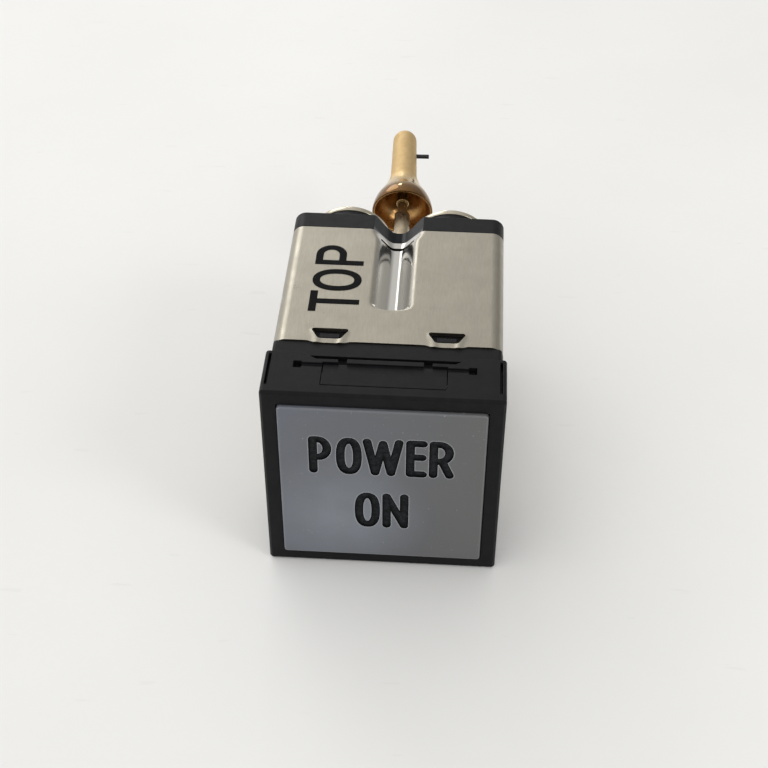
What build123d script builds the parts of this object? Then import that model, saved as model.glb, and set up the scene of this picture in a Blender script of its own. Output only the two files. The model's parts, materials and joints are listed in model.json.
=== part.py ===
from build123d import *
import os
from math import hypot, sqrt

os.makedirs("parts", exist_ok=True)

# Lamp capsule of a square lighted push-button switch, with its hinged link and plunger.
# Millimetres. +Z is up, +Y runs from the legend lens towards the lamps and the plunger.
# The origin is the middle of the bezel's bottom face, on which the capsule stands.

# ---- bezel ------------------------------------------------------------------
CAP_SIZE = 18.0                 # square outline of the bezel
BEZEL_DEPTH = 4.65              # front face to rear edge
BEZEL_WALL = 0.75               # top, bottom and side walls
LIP_WIDTH = 1.2                 # black border round the lens
LIP_DEPTH = 0.8                 # thickness of that border
CAP_CORNER_R = 0.3              # long edges of the bezel
FRONT_BEVEL = 0.2               # bevel round the front face
SIDE_SLOT_WIDTH = 0.2           # narrow slot beside each top edge
SIDE_SLOT_INSET = 0.3           # slot to the side face
SIDE_SLOT_DEPTH = 0.5
SIDE_SLOT_MARGIN = 0.9          # slot's front end to the front face
SIDE_SLOT_END = 0.3             # slot's rear end to the rear edge
PRY_GAP_DEPTH = 0.7             # low gap in the rear edge for prying the bezel off
PRY_GAP_MARGIN = 0.6            # catch's side to the gap's inner corner
PRY_GAP_SLANT = 1.1             # sideways run of the gap's slanted ends
KEY_HOLE_WIDTH = 0.6            # small holes at the ends of the catch's channel
KEY_HOLE_LENGTH = 0.75
KEY_HOLE_MARGIN = 1.9           # catch's side to the hole's middle
KEY_HOLE_SHIFT = 0.25           # hole's middle behind the middle of the band
KEY_HOLE_DEPTH = 0.55
CHANNEL_DEPTH = 0.2             # shallow channel between the holes
CHANNEL_LENGTH = 0.45

# ---- catches of the housing in the bezel's top and bottom walls ----------------
CATCH_MARGIN = 4.4              # side of the bezel to the broad front pad
CATCH_FRONT = 1.1               # front face of the bezel to the pad
PAD_LENGTH = 1.35
BAND_LENGTH = 1.1               # recessed band behind the pad
TAB_INSET = 1.75                # pad's side to the side of the narrow rear tab
TAB_LENGTH = 0.45
TAB_RELIEF = 0.65               # open notch in the bezel on each side of the tab
CATCH_GAP = 0.06
CATCH_ROOT = 0.2                # catch's depth into the housing's wall

# ---- lens stack ---------------------------------------------------------------
FIT = 0.05                      # clearance per side of parts that slide together
LENS_PROUD = 0.25               # lens in front of the bezel
LENS_BEVEL = 0.12
LENS_FLANGE = 0.5
FILTER_THICK = 0.4
DIFFUSER_THICK = 0.8

# ---- front housing and reflector ---------------------------------------------
COLLAR_STEP = 0.1               # collar's face below the metal case's
COLLAR_LENGTH = 1.6
HOUSING_WALL = 0.4
TONGUE_GAP = 0.55               # housing's tongue inside the case to the lamp block
TOOTH_WIDTH = 1.5
TOOTH_LENGTH = 0.9
WELL_RIM = 0.3                  # reflector's outer wall at its front
WELL_TAPER = 0.35               # how much each well's wall leans inwards

# ---- metal case -----------------------------------------------------------------
CASE_STEP = 0.25                # case's face below the bezel's
CASE_LENGTH = 14.55
SHEET = 0.35
CASE_CORNER_R = 1.0
SLOT_SHARE = 0.254              # snap slot's place sideways, as a share of the case
SLOT_REAR_WIDTH = 2.85
SLOT_FRONT_WIDTH = 1.8
SLOT_LENGTH = 1.2
STRAP_LENGTH = 0.3              # sheet left in front of each slot
LOBE = 0.22                     # bulge of that strap over the collar
TROUGH_WIDTH = 3.3
TROUGH_FLOOR = 1.7
TROUGH_DEPTH = 1.4
TROUGH_LENGTH = 10.6            # from the rear edge
TROUGH_CORNER_R = 0.6
SLIT_WIDTH = 0.25
SLIT_SPAN = 2.7
SLIT_INSET = 0.9                # rear edge to the slit

# ---- rear plate and lamp block ---------------------------------------------------
REAR_PLATE_THICK = 2.05
NOTCH_TOP = 4.1
NOTCH_FLOOR = 1.5
NOTCH_DEPTH = 1.9
NOTCH_SAG = 0.2                 # rounding of its floor
REAR_BEVEL = 0.12
BOSS_R = 3.45
BOSS_HEIGHT = 1.8
GRIP_THICK = 0.3
GRIP_SLIT = 0.3
GRIP_SLIT_REACH = 0.45          # slit beyond the hole's edge
CHANNEL_CLEAR = 0.3             # block's channel under the pressed trough

# ---- lamps: midget flange, 5.7 mm --------------------------------------------------
LAMP_SHARE = 0.4914             # lamps' pitch as a share of the case
LAMP_LENGTH = 15.9
LAMP_FLANGE_R = 3.55
LAMP_FLANGE_THICK = 0.6
LAMP_SHELL_R = 2.85
LAMP_SHELL_LENGTH = 5.0
LAMP_SHELL_WALL = 0.3
LAMP_CONTACT = 0.9              # contact's height behind the flange
DOME_SHARE = 0.62               # where the glass's dome bends, as a share of its radius
CONTACT_R = 1.1
LAMP_FIT = 0.1
GRIP_FIT = 0.02

# ---- link bracket, hinge pin and nut ------------------------------------------------
PIVOT_BACK = 1.3                # hinge axis behind the rear plate
BRACKET_R = 2.2
BRACKET_THICK = 0.3
EAR_THICK = 0.55
EAR_R = 0.85
EAR_GAP = 1.64
HINGE_PIN_R = 0.4
HINGE_FIT = 0.05
PIN_PRESS = 0.005
STUD_R = 1.0
NUT_FLATS = 4.0
NUT_THICK = 1.2

# ---- link rod and plunger, measured from the hinge axis -----------------------------
LINK_RISE = 10.0                # degrees above level
LINK_LEAN = 1.6                 # degrees to the left, the play of the eye on its pin
EYE_WIDTH = 1.1
EYE_R = 0.85
EYE_NECK = 1.05                 # hinge axis to the start of the round rod
ROD_R = 0.7
ROD_STEP = 9.05                 # shoulder where the rod steps down
NECK_R = 0.45
ROD_CHAMFER = 0.12
RING_AT = 10.4
RING_R = 0.6
RING_WIDTH = 0.22
HEAD_R = 0.6
HEAD_LENGTH = 0.6
MOUTH_AT = 9.35
MOUTH_R = 2.77
BELL_LENGTH = 4.65
# each point of the flare: distance behind the rim, radius
BELL_FLARE = [(1.0, 2.62), (2.0, 2.19), (3.0, 1.65), (3.8, 1.35)]
BELL_WALL = 0.25
TUBE_R = 1.22
TUBE_END_R = 1.12
PLUNGER_LENGTH = 10.55
BORE_FIT = 0.05
THROAT_LENGTH = 0.8
STROKE = 1.6
STOP_GAP = 0.03
CROSS_PIN_AT = 16.84
CROSS_PIN_R = 0.2
CROSS_PIN_REACH = 2.33
CROSS_PIN_INSET = 0.1           # pin's far end below the tube's surface

# ---- stations along Y ---------------------------------------------------------------
AXIS_Z = CAP_SIZE / 2
FRONT_Y = -BEZEL_DEPTH / 2
LENS_Y = FRONT_Y + LIP_DEPTH
FILTER_Y = LENS_Y + LENS_FLANGE
DIFFUSER_Y = FILTER_Y + FILTER_THICK
SPIGOT_Y = DIFFUSER_Y + DIFFUSER_THICK
COLLAR_Y = FRONT_Y + BEZEL_DEPTH
TONGUE_Y = COLLAR_Y + COLLAR_LENGTH
CASE_Y = TONGUE_Y + FIT
CASE_END_Y = CASE_Y + CASE_LENGTH
PLATE_Y = CASE_END_Y + FIT
REAR_Y = PLATE_Y + REAR_PLATE_THICK
GRIP_Y = CASE_END_Y - GRIP_THICK
FLANGE_Y = REAR_Y + BOSS_HEIGHT
LAMP_TAIL_Y = FLANGE_Y + LAMP_FLANGE_THICK + LAMP_CONTACT
LAMP_TIP_Y = LAMP_TAIL_Y - LAMP_LENGTH
BLOCK_Y = LAMP_TIP_Y - FIT
PIVOT_Y = REAR_Y + PIVOT_BACK

# ---- sizes that follow from fits ------------------------------------------------------
CAVITY = CAP_SIZE - 2 * BEZEL_WALL
STACK_SIZE = CAVITY - 2 * FIT
CASE_SIZE = CAP_SIZE - 2 * CASE_STEP
COLLAR_SIZE = CASE_SIZE - 2 * COLLAR_STEP
WINDOW = CAP_SIZE - 2 * LIP_WIDTH
HOUSING_BORE = STACK_SIZE - 2 * HOUSING_WALL
CASE_BORE = CASE_SIZE - 2 * SHEET
INSERT_SIZE = CASE_BORE - 2 * FIT
CASE_TOP_Z = AXIS_Z + CASE_SIZE / 2
REFLECTOR_SIZE = HOUSING_BORE - 2 * FIT
LAMP_PITCH = CASE_SIZE * LAMP_SHARE
WELL_FRONT = REFLECTOR_SIZE - LAMP_PITCH - 2 * WELL_RIM
SLOT_X = CASE_SIZE * SLOT_SHARE
CATCH_WIDTH = CAP_SIZE - 2 * CATCH_MARGIN
TAB_WIDTH = CATCH_WIDTH - 2 * TAB_INSET
KEY_HOLE_X = CATCH_WIDTH / 2 + KEY_HOLE_MARGIN
BAND_Y = FRONT_Y + CATCH_FRONT + PAD_LENGTH + BAND_LENGTH / 2
KEY_HOLE_Y = BAND_Y + KEY_HOLE_SHIFT
LAMP_BORE_R = LAMP_SHELL_R + LAMP_FIT
TROUGH_SLOPE = (TROUGH_WIDTH - TROUGH_FLOOR) / 2 / TROUGH_DEPTH
TROUGH_Y = CASE_END_Y - TROUGH_LENGTH
THROAT_R = NECK_R + BORE_FIT
PLUNGER_BORE_R = HEAD_R + BORE_FIT
NECK_AT = MOUTH_AT + BELL_LENGTH
THROAT_AT = NECK_AT - THROAT_LENGTH
HEAD_AT = THROAT_AT + THROAT_LENGTH + STOP_GAP
BORE_END = HEAD_AT + HEAD_LENGTH + STROKE + STOP_GAP
PLUNGER_END = MOUTH_AT + PLUNGER_LENGTH
NUT_Y = (BLOCK_Y + GRIP_Y) / 2
LAMP_SPOTS = [(x, z) for z in (1, -1) for x in (-1, 1)]


def prism(face, y0, y1, z=AXIS_Z):
    """Extrude a face drawn in X and Z, about height z, from y0 to y1."""
    plane = Plane(origin=(0, y1, z), x_dir=(1, 0, 0), z_dir=(0, -1, 0))
    return extrude(plane * face, amount=y1 - y0)


def square(size, y0, y1, radius=0.0):
    """Square prism on the capsule's axis, its long edges rounded."""
    face = RectangleRounded(size, size, radius) if radius > 0 else Rectangle(size, size)
    return prism(face, y0, y1)


def slab(points, z0, z1):
    """Outline in X and Y, extruded from z0 to z1."""
    face = make_face(Polyline(*points, close=True))
    return extrude(Pos(0, 0, z0) * face, amount=z1 - z0)


def turned(*outline):
    """Solid turned about Y from (radius, station) points."""
    return revolve(make_face(Polyline(*outline, close=True)), axis=Axis.Y)


def rod_along_y(radius, y0, y1):
    """Cylinder on the Y axis between two stations."""
    return turned((0, y0), (radius, y0), (radius, y1), (0, y1))


def rod_along_x(radius, x0, x1):
    """Cylinder on the X axis between two stations."""
    return Pos((x0 + x1) / 2, 0, 0) * Rot(0, 90, 0) * Cylinder(radius, x1 - x0)


def at_axis(shape):
    """Lift a shape built about Y to the capsule's axis."""
    return Pos(0, 0, AXIS_Z) * shape


def at_lamps(shape):
    """Copies of a shape built about Y, one on each lamp's axis."""
    half = LAMP_PITCH / 2
    return [Pos(x * half, 0, AXIS_Z + z * half) * shape for x, z in LAMP_SPOTS]


def flipped(shape):
    """The same shape turned half round the capsule's axis, for the bottom side."""
    return Pos(0, 0, AXIS_Z) * Rot(0, 180, 0) * Pos(0, 0, -AXIS_Z) * shape


def on_both_sides(shape):
    """A shape on the top side and its turned copy on the bottom side."""
    return shape + flipped(shape)


# ---- bezel and the catch that fills its windows --------------------------------------

def catch_outline(gap, relief=0.0):
    """Outline of the catch in X and Y: broad pad in front, narrow tab behind."""
    pad = CATCH_WIDTH / 2 + gap
    tab = TAB_WIDTH / 2 + relief
    front = FRONT_Y + CATCH_FRONT - gap
    shoulder = FRONT_Y + CATCH_FRONT + PAD_LENGTH + BAND_LENGTH + gap
    rear = shoulder + TAB_LENGTH
    return [(-pad, front), (pad, front), (pad, shoulder), (tab, shoulder),
            (tab, rear), (-tab, rear), (-tab, shoulder), (-pad, shoulder)]


def channel_cut(half_width, y, length):
    """Shallow channel across the top wall, with its middle at y."""
    points = [(-half_width, y - length / 2), (half_width, y - length / 2),
              (half_width, y + length / 2), (-half_width, y + length / 2)]
    return slab(points, CAP_SIZE - CHANNEL_DEPTH, CAP_SIZE + FIT)


def key_holes():
    """Small holes at the ends of the channel."""
    hole = Box(KEY_HOLE_WIDTH, KEY_HOLE_LENGTH, 2 * KEY_HOLE_DEPTH)
    return Pos(-KEY_HOLE_X, KEY_HOLE_Y, CAP_SIZE) * hole + Pos(KEY_HOLE_X, KEY_HOLE_Y, CAP_SIZE) * hole


def pry_gap():
    """Long low gap in the rear edge of the top wall, with slanted ends."""
    front = CATCH_WIDTH / 2 + PRY_GAP_MARGIN
    rear = front + PRY_GAP_SLANT
    y0 = COLLAR_Y - PRY_GAP_DEPTH
    points = [(-front, y0), (front, y0), (rear, COLLAR_Y + FIT), (-rear, COLLAR_Y + FIT)]
    return slab(points, CAP_SIZE - 2 * BEZEL_WALL, CAP_SIZE + FIT)


def side_slots():
    """Narrow slots close to the side faces, cut into the top wall."""
    length = BEZEL_DEPTH - SIDE_SLOT_MARGIN - SIDE_SLOT_END
    x = CAP_SIZE / 2 - SIDE_SLOT_INSET - SIDE_SLOT_WIDTH / 2
    y = FRONT_Y + SIDE_SLOT_MARGIN + length / 2
    slot = Box(SIDE_SLOT_WIDTH, length, 2 * SIDE_SLOT_DEPTH)
    return Pos(-x, y, CAP_SIZE) * slot + Pos(x, y, CAP_SIZE) * slot


def make_bezel():
    body = square(CAP_SIZE, FRONT_Y, COLLAR_Y, CAP_CORNER_R)
    body = chamfer(body.faces().sort_by(Axis.Y)[0].edges(), FRONT_BEVEL)
    body -= square(WINDOW, FRONT_Y - LENS_PROUD, LENS_Y)
    body -= square(CAVITY, LENS_Y, COLLAR_Y)
    window = slab(catch_outline(CATCH_GAP, TAB_RELIEF), CAP_SIZE - 2 * BEZEL_WALL, CAP_SIZE + FIT)
    channel = channel_cut(KEY_HOLE_X, KEY_HOLE_Y, CHANNEL_LENGTH)
    for cut in (window, channel, key_holes(), pry_gap(), side_slots()):
        body -= on_both_sides(cut)
    return body


def catch():
    """Catch of the top wall: pad, recessed band and rear tab."""
    plate = slab(catch_outline(0), CAP_SIZE - BEZEL_WALL, CAP_SIZE)
    plate -= channel_cut(CATCH_WIDTH / 2, BAND_Y, BAND_LENGTH)
    root_z = AXIS_Z + STACK_SIZE / 2 - CATCH_ROOT
    half = CATCH_WIDTH / 2
    rear = FRONT_Y + CATCH_FRONT + PAD_LENGTH + BAND_LENGTH
    outline = [(-half, SPIGOT_Y), (half, SPIGOT_Y), (half, rear), (-half, rear)]
    return plate + slab(outline, root_z, CAP_SIZE - BEZEL_WALL)


# ---- lens stack -----------------------------------------------------------------------

def make_lens():
    face_size = WINDOW - 2 * FIT
    face = square(face_size, FRONT_Y - LENS_PROUD, LENS_Y)
    face = chamfer(face.faces().sort_by(Axis.Y)[0].edges(), LENS_BEVEL)
    return face + square(STACK_SIZE, LENS_Y, FILTER_Y)


def make_front_housing():
    """Collar between bezel and case: a spigot with catches in front, a tongue behind."""
    body = square(STACK_SIZE, SPIGOT_Y, COLLAR_Y)
    body += square(COLLAR_SIZE, COLLAR_Y, TONGUE_Y, CAP_CORNER_R)
    tongue_end = BLOCK_Y - TONGUE_GAP
    body += square(INSERT_SIZE, TONGUE_Y, tongue_end, CASE_CORNER_R - SHEET)
    body -= square(HOUSING_BORE, SPIGOT_Y, tongue_end)
    body += on_both_sides(catch() + snap_tooth(-SLOT_X) + snap_tooth(SLOT_X))
    relief = lobe(-SLOT_X, FIT) + lobe(SLOT_X, FIT)
    return body - on_both_sides(relief)


def snap_tooth(x):
    """Wedge on the tongue that springs into a slot of the case."""
    base_z = AXIS_Z + INSERT_SIZE / 2
    rise = SHEET
    y0 = slot_front() + (SLOT_LENGTH - TOOTH_LENGTH) / 2
    outline = [(y0, base_z - rise), (y0 + TOOTH_LENGTH, base_z - rise), (y0 + TOOTH_LENGTH, base_z),
               (y0 + TOOTH_LENGTH / 2, base_z + rise), (y0, base_z + rise)]
    face = make_face(Polyline(*outline, close=True))
    plane = Plane(origin=(x - TOOTH_WIDTH / 2, 0, 0), x_dir=(0, 1, 0), z_dir=(1, 0, 0))
    return extrude(plane * face, amount=TOOTH_WIDTH)


def make_reflector():
    """White insert with four square wells that narrow towards the lamps."""
    body = square(REFLECTOR_SIZE, SPIGOT_Y, BLOCK_Y)
    mouth = Plane(origin=(0, SPIGOT_Y, 0), x_dir=(1, 0, 0), z_dir=(0, -1, 0))
    neck = Plane(origin=(0, BLOCK_Y, 0), x_dir=(1, 0, 0), z_dir=(0, -1, 0))
    narrow = WELL_FRONT - 2 * WELL_TAPER
    well = loft([mouth * Rectangle(WELL_FRONT, WELL_FRONT), neck * Rectangle(narrow, narrow)])
    for cut in at_lamps(well):
        body -= cut
    return body


# ---- metal case --------------------------------------------------------------------------

def slot_front():
    """Front edge of the snap slots."""
    return CASE_Y + STRAP_LENGTH


def snap_slot(x):
    """Slot through the top wall, wider at its rear edge."""
    rear = SLOT_REAR_WIDTH / 2
    front = SLOT_FRONT_WIDTH / 2
    y0 = slot_front()
    y1 = y0 + SLOT_LENGTH
    points = [(x - front, y0), (x + front, y0), (x + rear, y1), (x - rear, y1)]
    return slab(points, CASE_TOP_Z - SHEET - FIT, CASE_TOP_Z + FIT)


def lobe(x, gap):
    """Bulge of the strap in front of a slot, or the relief for it in the collar."""
    rear = SLOT_REAR_WIDTH / 2 + gap
    front = SLOT_FRONT_WIDTH / 2 + gap
    points = [(x - front, CASE_Y - LOBE - gap), (x + front, CASE_Y - LOBE - gap),
              (x + rear, CASE_Y), (x - rear, CASE_Y)]
    return slab(points, CASE_TOP_Z - SHEET - gap, CASE_TOP_Z + gap)


def trough(offset):
    """Pressed trough as a solid: its hollow with offset 0, or its underside with the sheet's."""
    side = offset * hypot(1, TROUGH_SLOPE)
    end_y = CASE_END_Y + TROUGH_WIDTH

    def section(depth, radius):
        half = TROUGH_WIDTH / 2 - TROUGH_SLOPE * depth + side
        front_y = TROUGH_Y + TROUGH_SLOPE * depth - side
        face = RectangleRounded(2 * half, end_y - front_y, radius)
        return Pos(0, (front_y + end_y) / 2, CASE_TOP_Z - depth) * face

    return loft([section(-SHEET, TROUGH_CORNER_R), section(TROUGH_DEPTH + offset, TROUGH_CORNER_R / 2)])


def make_case():
    """Folded sheet case: snap slots and lobes in front, pressed trough with a slit behind."""
    body = square(CASE_SIZE, CASE_Y, CASE_END_Y, CASE_CORNER_R) - trough(0)
    hollow = square(CASE_BORE, CASE_Y, CASE_END_Y, CASE_CORNER_R - SHEET) - trough(SHEET)
    body -= hollow
    body += on_both_sides(lobe(-SLOT_X, 0) + lobe(SLOT_X, 0))
    body -= on_both_sides(snap_slot(-SLOT_X) + snap_slot(SLOT_X))
    slit = Box(SLIT_SPAN, SLIT_WIDTH, 2 * (TROUGH_DEPTH + 2 * SHEET))
    return body - Pos(0, CASE_END_Y - SLIT_INSET, CASE_TOP_Z) * slit


# ---- lamp block, grip plate and rear plate --------------------------------------------------

def block_channel(y0, y1):
    """Room under the case's trough."""
    depth = TROUGH_DEPTH + SHEET + CHANNEL_CLEAR
    half = TROUGH_WIDTH / 2 + SHEET + CHANNEL_CLEAR
    return Pos(0, (y0 + y1) / 2, CASE_TOP_Z) * Box(2 * half, y1 - y0, 2 * depth)


def make_lamp_block():
    body = square(INSERT_SIZE, BLOCK_Y, GRIP_Y, CASE_CORNER_R - SHEET)
    body -= block_channel(BLOCK_Y, GRIP_Y)
    for bore in at_lamps(rod_along_y(LAMP_BORE_R, BLOCK_Y, GRIP_Y)):
        body -= bore
    body -= at_axis(rod_along_y(STUD_R + FIT, NUT_Y, GRIP_Y))
    return body - hexagon(FIT, BLOCK_Y, NUT_Y)


def make_grip_plate():
    """Thin sprung plate whose slit holes grip the lamps' shells."""
    body = square(INSERT_SIZE, GRIP_Y, CASE_END_Y, CASE_CORNER_R - SHEET)
    body -= block_channel(GRIP_Y, CASE_END_Y)
    hole = rod_along_y(LAMP_SHELL_R + GRIP_FIT, GRIP_Y, CASE_END_Y)
    reach = 2 * (LAMP_SHELL_R + GRIP_SLIT_REACH)
    slit = Pos(0, GRIP_Y + GRIP_THICK / 2, 0) * Box(reach, GRIP_THICK, GRIP_SLIT)
    for cut in at_lamps(hole + slit + Rot(0, 90, 0) * slit):
        body -= cut
    return body - at_axis(rod_along_y(STUD_R + FIT, GRIP_Y, CASE_END_Y))


def notch_outline():
    """Notch in X and Z, Z from the case's top face: sloped walls and a rounded floor."""
    low = NOTCH_DEPTH - NOTCH_SAG
    floor = NOTCH_FLOOR / 2
    slope = (NOTCH_TOP - NOTCH_FLOOR) / 2 / low
    top = NOTCH_TOP / 2 + slope * FIT
    walls = Polyline((floor, -low), (top, FIT), (-top, FIT), (-floor, -low))
    return walls + ThreePointArc((-floor, -low), (0, -NOTCH_DEPTH), (floor, -low))


def make_rear_plate():
    """Black rear end with its notch and a round boss under each lamp's flange."""
    body = square(CASE_SIZE, PLATE_Y, REAR_Y, CASE_CORNER_R)
    body = chamfer(body.faces().sort_by(Axis.Y)[-1].edges(), REAR_BEVEL)
    body -= prism(make_face(notch_outline()), PLATE_Y, REAR_Y, CASE_TOP_Z)
    for boss in at_lamps(rod_along_y(BOSS_R, REAR_Y, FLANGE_Y)):
        body += boss
    for bore in at_lamps(rod_along_y(LAMP_BORE_R, PLATE_Y, FLANGE_Y)):
        body -= bore
    return body - at_axis(rod_along_y(STUD_R + FIT, PLATE_Y, REAR_Y))


# ---- lamps, built about Y ---------------------------------------------------------------------

def lamp_shell():
    """Metal shell with the flange at its rear end."""
    front = FLANGE_Y - LAMP_SHELL_LENGTH
    rear = FLANGE_Y + LAMP_FLANGE_THICK
    inner = LAMP_SHELL_R - LAMP_SHELL_WALL
    return turned((inner, front), (LAMP_SHELL_R, front), (LAMP_SHELL_R, FLANGE_Y),
                  (LAMP_FLANGE_R, FLANGE_Y), (LAMP_FLANGE_R, rear), (inner, rear))


def lamp_glass():
    """Glass envelope with a domed end, its stem inside the shell."""
    radius = LAMP_SHELL_R - LAMP_SHELL_WALL
    crown = radius * DOME_SHARE
    return turned((0, LAMP_TIP_Y), (crown, LAMP_TIP_Y + radius - crown),
                  (radius, LAMP_TIP_Y + radius), (radius, FLANGE_Y), (0, FLANGE_Y))


def lamp_contact():
    """Insulator that closes the shell's rear end, with the solder contact on it."""
    radius = LAMP_SHELL_R - LAMP_SHELL_WALL
    face = FLANGE_Y + LAMP_FLANGE_THICK
    return turned((0, FLANGE_Y), (radius, FLANGE_Y), (radius, face), (CONTACT_R, face),
                  (CONTACT_R / 2, LAMP_TAIL_Y), (0, LAMP_TAIL_Y))


# ---- bracket, hinge pin and nut --------------------------------------------------------------------

def make_bracket():
    """Clevis on a round foot, with a stud that runs through the rear plate into the block."""
    foot = rod_along_y(BRACKET_R, REAR_Y, REAR_Y + BRACKET_THICK)
    stud = rod_along_y(STUD_R, NUT_Y - NUT_THICK - FIT, REAR_Y)
    body = at_axis(foot + stud)
    for side in (-1, 1):
        x = side * (EAR_GAP + EAR_THICK) / 2
        web = Pos(x, (REAR_Y + PIVOT_Y) / 2, 0) * Box(EAR_THICK, PIVOT_Y - REAR_Y, 2 * EAR_R)
        eye = Pos(0, PIVOT_Y, 0) * rod_along_x(EAR_R, x - EAR_THICK / 2, x + EAR_THICK / 2)
        body += at_axis(web + eye)
    reach = EAR_GAP / 2 + EAR_THICK
    return body - at_pivot(rod_along_x(HINGE_PIN_R + PIN_PRESS, -reach, reach))


def at_pivot(shape):
    """Place a shape built about the hinge axis."""
    return Pos(0, PIVOT_Y, AXIS_Z) * shape


def make_hinge_pin():
    half = EAR_GAP / 2 + EAR_THICK
    return at_pivot(rod_along_x(HINGE_PIN_R, -half, half))


def hexagon(gap, y0, y1):
    """The nut's outline as a prism, or with a gap the pocket that keeps it from turning."""
    return prism(RegularPolygon(NUT_FLATS / 2 + gap, 6, major_radius=False), y0, y1)


def make_nut():
    nut = hexagon(0, NUT_Y - NUT_THICK, NUT_Y)
    return nut - at_axis(rod_along_y(STUD_R + PIN_PRESS, NUT_Y - NUT_THICK, NUT_Y))


# ---- link rod, ring, plunger and cross pin: built along Y from the hinge axis -------------------------

def on_link(shape):
    """Tilt a shape built along Y from the hinge axis to the link's resting place."""
    return at_pivot(Rot(0, 0, LINK_LEAN) * Rot(LINK_RISE, 0, 0) * shape)


def make_rod():
    """Stepped rod with a flat eye at the hinge and a small head inside the plunger."""
    head_end = HEAD_AT + HEAD_LENGTH
    shank = turned((0, EYE_NECK), (ROD_R, EYE_NECK), (ROD_R, ROD_STEP - ROD_CHAMFER),
                   (ROD_R - ROD_CHAMFER, ROD_STEP), (NECK_R, ROD_STEP), (NECK_R, HEAD_AT),
                   (HEAD_R, HEAD_AT), (HEAD_R, head_end), (0, head_end))
    half = EYE_WIDTH / 2
    neck = Pos(0, EYE_NECK / 2, 0) * Box(EYE_WIDTH, EYE_NECK, 2 * (ROD_R - ROD_CHAMFER))
    return shank + neck + rod_along_x(EYE_R, -half, half) - rod_along_x(HINGE_PIN_R + HINGE_FIT, -half, half)


def make_ring():
    inner = NECK_R + PIN_PRESS
    return turned((inner, RING_AT), (RING_R, RING_AT), (RING_R, RING_AT + RING_WIDTH),
                  (inner, RING_AT + RING_WIDTH))


def bell_profile():
    """Closed outline of the plunger: bell outside, stepped bore, funnel inside."""
    shoulder = THROAT_AT + THROAT_LENGTH
    tip_y = PLUNGER_END - TUBE_END_R
    slant = TUBE_END_R * sqrt(0.5)
    outside = [(MOUTH_R, MOUTH_AT)] + [(r, MOUTH_AT + y) for y, r in BELL_FLARE]
    tube = [(TUBE_R, NECK_AT), (TUBE_END_R, tip_y), (slant, tip_y + slant), (0, PLUNGER_END)]
    bore = [(0, BORE_END), (PLUNGER_BORE_R, BORE_END), (PLUNGER_BORE_R, shoulder),
            (THROAT_R, shoulder), (THROAT_R, THROAT_AT)]
    funnel = [(r - BELL_WALL, MOUTH_AT + y - BELL_WALL) for y, r in reversed(BELL_FLARE[:2])]
    rim = [(MOUTH_R - BELL_WALL, MOUTH_AT)]
    return outside + tube + bore + funnel + rim


def make_plunger():
    """Turned plunger: bell mouth towards the block, round tip, cross hole for its pin."""
    body = turned(*bell_profile())
    hole = rod_along_x(CROSS_PIN_R + PIN_PRESS, CROSS_PIN_INSET - TUBE_R, CROSS_PIN_REACH)
    return body - Pos(0, CROSS_PIN_AT, 0) * hole


def make_cross_pin():
    return Pos(0, CROSS_PIN_AT, 0) * rod_along_x(CROSS_PIN_R, CROSS_PIN_INSET - TUBE_R, CROSS_PIN_REACH)


# ---- all sub-parts ---------------------------------------------------------------------

def lamp_nodes():
    """Shell, glass and contact of each of the four lamps."""
    pieces = {"shell": lamp_shell(), "glass": lamp_glass(), "contact": lamp_contact()}
    nodes = {}
    for kind, shape in pieces.items():
        for number, placed in enumerate(at_lamps(shape), start=1):
            nodes[f"lamp_{number}_{kind}"] = placed
    return nodes


def all_nodes():
    nodes = {
        "bezel": make_bezel(),
        "legend_lens": make_lens(),
        "colour_filter": square(STACK_SIZE, FILTER_Y, DIFFUSER_Y),
        "diffuser_plate": square(STACK_SIZE, DIFFUSER_Y, SPIGOT_Y),
        "front_housing": make_front_housing(),
        "reflector": make_reflector(),
        "metal_case": make_case(),
        "lamp_block": make_lamp_block(),
        "lamp_grip_plate": make_grip_plate(),
        "rear_plate": make_rear_plate(),
        "link_bracket": make_bracket(),
        "bracket_nut": make_nut(),
        "hinge_pin": make_hinge_pin(),
        "link_rod": on_link(make_rod()),
        "rod_ring": on_link(make_ring()),
        "plunger": on_link(make_plunger()),
        "cross_pin": on_link(make_cross_pin()),
    }
    nodes.update(lamp_nodes())
    return nodes


for name, shape in all_nodes().items():
    export_step(shape, f"parts/{name}.step")
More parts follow.
